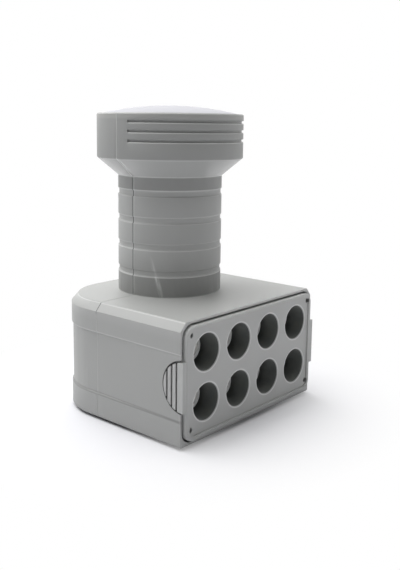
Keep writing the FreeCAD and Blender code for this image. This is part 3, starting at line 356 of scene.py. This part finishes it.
def makeGreyAbs(name, isShell):
    material, tree, shader, place = newMaterial(name)
    axes = addNode(tree, "ShaderNodeSeparateXYZ", {"Vector": place})
    colour = tonesByHeight(tree, axes.outputs["Z"], shellTonesAndPaintedLight if isShell else coverTonesAndShade)
    flow = addNode(tree, "ShaderNodeTexNoise", {"Vector": place, "Scale": perMetre(greyAbs["flowMm"])})
    masks = [flow.outputs["Fac"], greyAbs["flowStrength"]]
    colour = paintOver(tree, colour, linear(greyAbs["flowColour"]), *masks)
    if isShell:
        colour = addEdgeHighlights(tree, colour, axes)
        colour = addSeamAndHighlight(tree, colour, axes)
        colour = addGapShade(tree, colour, place, axes)
        colour = addScuff(tree, colour, place)
        onCone = insideSpans(tree, axes, greyAbs["polishedSpans"])[0]
        change = greyAbs["polishedRoughness"] - greyAbs["roughness"]
        polish = {0: onCone, 1: change, 2: greyAbs["roughness"]}
        roughness = addNode(tree, "ShaderNodeMath", polish, operation="MULTIPLY_ADD")
        tree.links.new(roughness.outputs[0], shader.inputs["Roughness"])
    else:
        colour = addPortRimHighlights(tree, colour, axes)
        colour = addCoverShade(tree, colour, place)
        shader.inputs["Roughness"].default_value = greyAbs["roughness"]
    grain = addGrain(tree, place, greyAbs["grainMm"], greyAbs["grainHeightMm"])
    tree.links.new(colour, shader.inputs["Base Color"])
    tree.links.new(grain, shader.inputs["Normal"])
    shader.inputs["IOR"].default_value = greyAbs["ior"]
    return material


# ASA, injection moulded and weathered: a smooth off-white that has lost nearly all its gloss.
paleAsa = {
    "colour": "#cfcfd4",
    "roughness": 0.75,
    "specular": 0.05,
    "ior": 1.52,
    "flowMm": 18.0,
    "flowHeightMm": 0.02,
}


def makePaleAsa():
    material, tree, shader, place = newMaterial("paleMouldedAsa")
    flow = addGrain(tree, place, paleAsa["flowMm"], paleAsa["flowHeightMm"])
    tree.links.new(flow, shader.inputs["Normal"])
    shader.inputs["Base Color"].default_value = linear(paleAsa["colour"])
    shader.inputs["Roughness"].default_value = paleAsa["roughness"]
    shader.inputs["IOR"].default_value = paleAsa["ior"]
    shader.inputs["Specular IOR Level"].default_value = paleAsa["specular"]
    return material


# EPDM rubber, compression moulded: a dull black that has greyed with weather and lies under
# patches of dust, with a faint sheen at a low angle.
blackEpdm = {
    "colour": "#585c5e",
    "dustColour": "#72746d",
    "dustMm": 3.0,
    "dustDetail": 4.0,
    "roughness": 0.72,
    "ior": 1.5,
    "sheen": 0.15,
}


def makeBlackEpdm():
    material, tree, shader, place = newMaterial("blackMouldedEpdm")
    pattern = {"Vector": place, "Scale": perMetre(blackEpdm["dustMm"]), "Detail": blackEpdm["dustDetail"]}
    dust = addNode(tree, "ShaderNodeTexNoise", pattern).outputs["Fac"]
    tone = paintOver(tree, linear(blackEpdm["colour"]), linear(blackEpdm["dustColour"]), dust)
    tree.links.new(tone, shader.inputs["Base Color"])
    shader.inputs["Roughness"].default_value = blackEpdm["roughness"]
    shader.inputs["IOR"].default_value = blackEpdm["ior"]
    shader.inputs["Sheen Weight"].default_value = blackEpdm["sheen"]
    return material


# Zinc alloy, die cast and tumbled: a light silky metal with a fine pitted skin. The sockets'
# barrels carry a turned thread.
castZinc = {
    "colour": "#e2e3e2",
    "roughness": 0.62,
    "skinMm": 0.6,
    "skinHeightMm": 0.02,
    "skinDetail": 3.0,
    "threadPitchMm": 0.794,  # the real pitch; its ridges are drawn twice as far apart, so that they show
    "threadDepthMm": 0.3,
    "threadFromMm": -23.5,  # the barrels lie from here towards the front
}


def makeCastZinc():
    material, tree, shader, place = newMaterial("tumbledCastZinc")
    skin = addGrain(tree, place, castZinc["skinMm"], castZinc["skinHeightMm"], castZinc["skinDetail"])
    alongY = addNode(tree, "ShaderNodeSeparateXYZ", {"Vector": place}).outputs["Y"]
    turning = {0: alongY, 1: perMetre(castZinc["threadPitchMm"])}
    turns = addNode(tree, "ShaderNodeMath", turning, operation="MULTIPLY").outputs[0]
    ridge = addNode(tree, "ShaderNodeMath", {0: turns, 1: 1.0}, operation="PINGPONG").outputs[0]
    barrel = {0: alongY, 1: castZinc["threadFromMm"] * mm}
    onBarrel = addNode(tree, "ShaderNodeMath", barrel, operation="LESS_THAN").outputs[0]
    thread = addNode(tree, "ShaderNodeMath", {0: ridge, 1: onBarrel}, operation="MULTIPLY").outputs[0]
    relief = {"Height": thread, "Distance": castZinc["threadDepthMm"] * mm, "Normal": skin}
    tree.links.new(addNode(tree, "ShaderNodeBump", relief).outputs["Normal"], shader.inputs["Normal"])
    shader.inputs["Base Color"].default_value = linear(castZinc["colour"])
    shader.inputs["Metallic"].default_value = 1.0
    shader.inputs["Roughness"].default_value = castZinc["roughness"]
    return material


# Inner pieces, each a plain finish with its own grain: white polyethylene, tinned bronze,
# varnished glass-fibre laminate, moulded epoxy, pressed nickel silver and plated steel. The
# grain is given by its size and its height.
innerFinishes = {
    "whitePolyethylene": {"colour": "#e6e4de", "roughness": 0.45, "metallic": 0, "grainMm": (1.0, 0.01)},
    "tinnedBronze": {"colour": "#cfc6ae", "roughness": 0.28, "metallic": 1, "grainMm": (0.3, 0.004)},
    "varnishedLaminate": {"colour": "#1f5a3a", "roughness": 0.3, "metallic": 0, "grainMm": (0.4, 0.006)},
    "mouldedEpoxy": {"colour": "#232425", "roughness": 0.6, "metallic": 0, "grainMm": (0.2, 0.006)},
    "nickelSilver": {"colour": "#bcbab2", "roughness": 0.25, "metallic": 1, "grainMm": (0.3, 0.003)},
    "platedSteel": {"colour": "#b9b9b4", "roughness": 0.3, "metallic": 1, "grainMm": (0.3, 0.004)},
}


def makeInnerFinish(name):
    finish = innerFinishes[name]
    material, tree, shader, place = newMaterial(name)
    tree.links.new(addGrain(tree, place, *finish["grainMm"]), shader.inputs["Normal"])
    shader.inputs["Base Color"].default_value = linear(finish["colour"])
    shader.inputs["Metallic"].default_value = finish["metallic"]
    shader.inputs["Roughness"].default_value = finish["roughness"]
    return material


portNumbers = range(1, 9)
boots, insulators, contacts = (
    [f"{piece}_{number}" for number in portNumbers]
    for piece in ("port_boot", "socket_insulator", "centre_contact")
)
dress(makeGreyAbs("greyMouldedAbs", True), "front_shell", "rear_shell")
dress(makeGreyAbs("paleGreyMouldedAbs", False), "weather_cover")
dress(makePaleAsa(), "feed_cap")
dress(makeBlackEpdm(), "lid_gasket", "cap_seal", *boots)
dress(makeCastZinc(), "chassis_casting", "chassis_lid", "backshort_cup")
dress(makeInnerFinish("whitePolyethylene"), *insulators)
dress(makeInnerFinish("tinnedBronze"), "horizontal_probe", "vertical_probe", *contacts)
dress(makeInnerFinish("varnishedLaminate"), "circuit_board")
dress(makeInnerFinish("mouldedEpoxy"), "switch_chip", "downconverter_chip", "voltage_regulator")
dress(makeInnerFinish("nickelSilver"), "reference_crystal")
dress(makeInnerFinish("platedSteel"), "lid_screws", "board_screws", "backshort_screws")
print("materials made:", len(bpy.data.materials))


# Rounded edges. A moulding has no sharp edge, so each outer piece gets a small radius that
# catches the light.
edgeRadiusMm = {
    "front_shell": 0.3,
    "rear_shell": 0.3,
    "weather_cover": 0.2,
    "feed_cap": 0.2,
}
edgeAngle = 25  # degrees; an edge that turns less than this stays as it is
edgeSegments = 2
weldMm = 0.001  # joins the faces of the CAD mesh, so that the edges between them can be rounded
for name, radius in edgeRadiusMm.items():
    weld = nodes[name].modifiers.new("closeFaces", "WELD")
    weld.merge_threshold = weldMm * mm
    bevel = nodes[name].modifiers.new("edgeRadius", "BEVEL")
    bevel.width = radius * mm
    bevel.segments = edgeSegments
    bevel.limit_method = "ANGLE"
    bevel.angle_limit = math.radians(edgeAngle)
    bevel.harden_normals = True
print("edges rounded on", len(edgeRadiusMm), "pieces")


# Rays that see the white background: the camera's own, and those off gloss or through glass.
seeingRays = ("Is Camera Ray", "Is Glossy Ray", "Is Transmission Ray")


def seen(tree):  # 1 for a ray that sees the background, else 0
    ray = addNode(tree, "ShaderNodeLightPath", {})
    total = ray.outputs[seeingRays[0]]
    for kind in seeingRays[1:]:
        either = {0: total, 1: ray.outputs[kind]}
        total = addNode(tree, "ShaderNodeMath", either, operation="MAXIMUM").outputs[0]
    return total


# White seamless paper. It fades to plain white away from the object, so it has no horizon, and as the fade
# starts close by, it also paints light over the object's shadow on the paper.
paper = {
    "colour": "#f1f1f5",
    "roughness": 0.9,
    "specular": 0.1,
    "halfSizeMm": 6000,
    "fadeMm": (38, 94),
    "dropMm": 0.9,  # how far it lies below the foot, whose edges then show a dark line under them
}


def makePaper():
    material, tree, shader, place = newMaterial("whitePaper")
    shader.inputs["Base Color"].default_value = linear(paper["colour"])
    shader.inputs["Roughness"].default_value = paper["roughness"]
    shader.inputs["Specular IOR Level"].default_value = paper["specular"]
    away = addNode(tree, "ShaderNodeVectorMath", {0: place}, operation="LENGTH").outputs["Value"]
    near, far = (distance * mm for distance in paper["fadeMm"])
    fade = addNode(tree, "ShaderNodeMapRange", {"Value": away, "From Min": near, "From Max": far})
    share = {0: fade.outputs["Result"], 1: seen(tree)}
    amount = addNode(tree, "ShaderNodeMath", share, operation="MULTIPLY").outputs[0]
    white = addNode(tree, "ShaderNodeEmission", {"Color": (1, 1, 1, 1), "Strength": 1.0})
    parts = {0: amount, 1: shader.outputs["BSDF"], 2: white.outputs["Emission"]}
    mixed = addNode(tree, "ShaderNodeMixShader", parts)
    tree.links.new(mixed.outputs["Shader"], tree.nodes["Material Output"].inputs["Surface"])
    half = paper["halfSizeMm"] * mm
    corners = [(-half, -half, 0), (half, -half, 0), (half, half, 0), (-half, half, 0)]
    mesh = bpy.data.meshes.new("paperSheet")
    mesh.from_pydata(corners, [], [(0, 1, 2, 3)])
    mesh.materials.append(material)
    sheet = bpy.data.objects.new("paperSheet", mesh)
    sheet.location.z = -paper["dropMm"] * mm
    scene.collection.objects.link(sheet)


makePaper()
print("paper laid")


# A white light tent: soft lamps above, behind and at the right, and a dark front where the camera
# looks in. Azimuth 0 is in front of the ports, and 90 is to their right.
tentLamps = {
    "overhead": {"azimuth": 0, "elevation": 90, "sizeMm": (1600, 1600), "watts": 11.0},
    "rear": {"azimuth": 180, "elevation": 55, "sizeMm": (1600, 1600), "watts": 15.0},
    "rearLeft": {"azimuth": -135, "elevation": 55, "sizeMm": (1600, 1600), "watts": 10.5},
    "rearRight": {"azimuth": 135, "elevation": 20, "sizeMm": (1400, 800), "watts": 2.6},
    "right": {"azimuth": 90, "elevation": 20, "sizeMm": (1400, 800), "watts": 1.3},
    "frontRight": {"azimuth": 45, "elevation": 20, "sizeMm": (1400, 800), "watts": 2.1},
}
tentRadiusMm = 1400
tentMiddleMm = (0, 0, 50)


def makeLights():
    for name, lamp in tentLamps.items():
        light = bpy.data.lights.new(name, "AREA")
        light.shape = "RECTANGLE"
        light.size, light.size_y = (side * mm for side in lamp["sizeMm"])
        light.energy = lamp["watts"]
        item = bpy.data.objects.new(name, light)
        out = towards(lamp["azimuth"], lamp["elevation"])
        item.location = (Vector(tentMiddleMm) + out * tentRadiusMm) * mm
        item.rotation_euler = out.to_track_quat("Z", "Y").to_euler()
        scene.collection.objects.link(item)
    world = bpy.data.worlds.new("lightTent")
    world.use_nodes = True
    tree = world.node_tree
    tree.nodes.clear()
    white = addNode(tree, "ShaderNodeBackground", {"Color": (1, 1, 1, 1), "Strength": seen(tree)})
    addNode(tree, "ShaderNodeOutputWorld", {"Surface": white.outputs["Background"]})
    scene.world = world


makeLights()
scene.view_settings.view_transform = "Standard"
print("lights:", ", ".join(tentLamps))


# The camera, from the photograph's perspective. The centre is where the lens axis meets the
# picture, in the photograph's pixels.
photoCamera = {
    "framePixels": (400, 570),
    "azimuth": -49.05,
    "elevation": 8.63,
    "roll": -0.67,
    "distanceMm": 309.3,
    "targetMm": (18.1, 0.0, 60.5),
    "focalPixels": 754.3,
    "centrePixels": (200.1, 237.4),
    "sensorMm": 36,
    "clipStartMm": 10,
}


def makeCamera():
    width, height = photoCamera["framePixels"]
    across, down = photoCamera["centrePixels"]
    back = towards(photoCamera["azimuth"], photoCamera["elevation"])
    data = bpy.data.cameras.new("photoCamera")
    data.sensor_width = photoCamera["sensorMm"]
    data.lens = photoCamera["focalPixels"] * data.sensor_width / height
    data.shift_x = (width / 2 - across) / height
    data.shift_y = (down - height / 2) / height
    data.clip_start = photoCamera["clipStartMm"] * mm
    camera = bpy.data.objects.new("photoCamera", data)
    camera.location = (Vector(photoCamera["targetMm"]) + back * photoCamera["distanceMm"]) * mm
    camera.rotation_euler = back.to_track_quat("Z", "Y").to_euler()
    camera.rotation_euler.rotate_axis("Z", -math.radians(photoCamera["roll"]))
    scene.collection.objects.link(camera)
    scene.camera = camera


makeCamera()
print("camera set")
